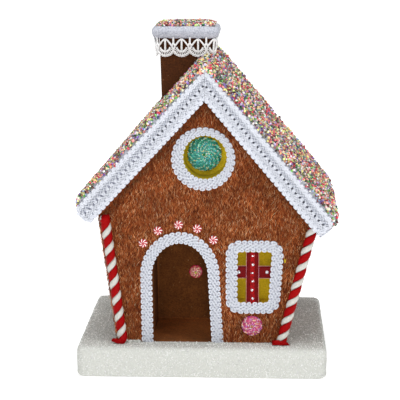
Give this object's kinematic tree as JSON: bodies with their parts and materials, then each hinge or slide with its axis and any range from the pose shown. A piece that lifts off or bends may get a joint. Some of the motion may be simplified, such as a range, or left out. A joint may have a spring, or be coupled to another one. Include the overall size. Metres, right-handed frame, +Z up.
{
  "type": "gingerbread house decoration",
  "caption": "Plush covered gingerbread house ornament on a snowy slab, with sprinkled roof, braid trims, sweets and twisted candy cane cords.",
  "frame": {"origin": "centre of the flat underside of the base slab", "axes": "+Z up, -Y towards the front with the doorway, +X to the right seen from the front"},
  "size_m": [0.2327, 0.1916, 0.3119],
  "materials": {
    "snow": "white glitter fabric over foam, fine sparkle",
    "plush": "short rust brown plush with a combed nap",
    "chocolate_felt": "dark brown felt",
    "olive_felt": "olive yellow felt",
    "sprinkled": "dense small shiny flakes in mixed sweet colours",
    "white_braid": "white looped gimp braid and lace",
    "teal_glitter": "teal swirl under clear glitter",
    "pink_glitter": "pink swirl under clear glitter",
    "pearl": "small pearly bead",
    "ribbon": "dark red satin ribbon with picot edges",
    "rhinestone": "small clear cut stone",
    "peppermint": "red and white striped sweet",
    "candy_cord": "twisted red and white cord"
  },
  "bodies": {
    "root": {"candy_cord_back_left": "candy_cord", "candy_cord_back_right": "candy_cord", "candy_cord_front_left": "candy_cord", "candy_cord_front_right": "candy_cord", "chimney": "chocolate_felt", "chimney_band": "white_braid", "chimney_lace": "white_braid", "chimney_sprinkles": "sprinkled", "doorway_braid": "white_braid", "doorway_candy": "pink_glitter", "doorway_candy_pearl": "pearl", "doorway_lining": "chocolate_felt", "eave_braid_left": "white_braid", "eave_braid_right": "white_braid", "house_body": "plush", "peppermint_1": "peppermint", "peppermint_2": "peppermint", "peppermint_3": "peppermint", "peppermint_4": "peppermint", "peppermint_5": "peppermint", "pink_candy": "pink_glitter", "pink_candy_pearl": "pearl", "rhinestone_1": "rhinestone", "rhinestone_2": "rhinestone", "rhinestone_3": "rhinestone", "rhinestone_4": "rhinestone", "rhinestone_5": "rhinestone", "rhinestone_6": "rhinestone", "rhinestone_7": "rhinestone", "rhinestone_8": "rhinestone", "ribbon_cross": "ribbon", "ribbon_upright": "ribbon", "roof": "sprinkled", "roof_braid_back_left": "white_braid", "roof_braid_back_right": "white_braid", "roof_braid_front_left": "white_braid", "roof_braid_front_right": "white_braid", "round_window_braid": "white_braid", "round_window_lining": "olive_felt", "snow_base": "snow", "square_window_braid": "white_braid", "square_window_lining": "olive_felt", "teal_candy": "teal_glitter", "teal_candy_bead": "teal_glitter"}
  },
  "joints": []
}
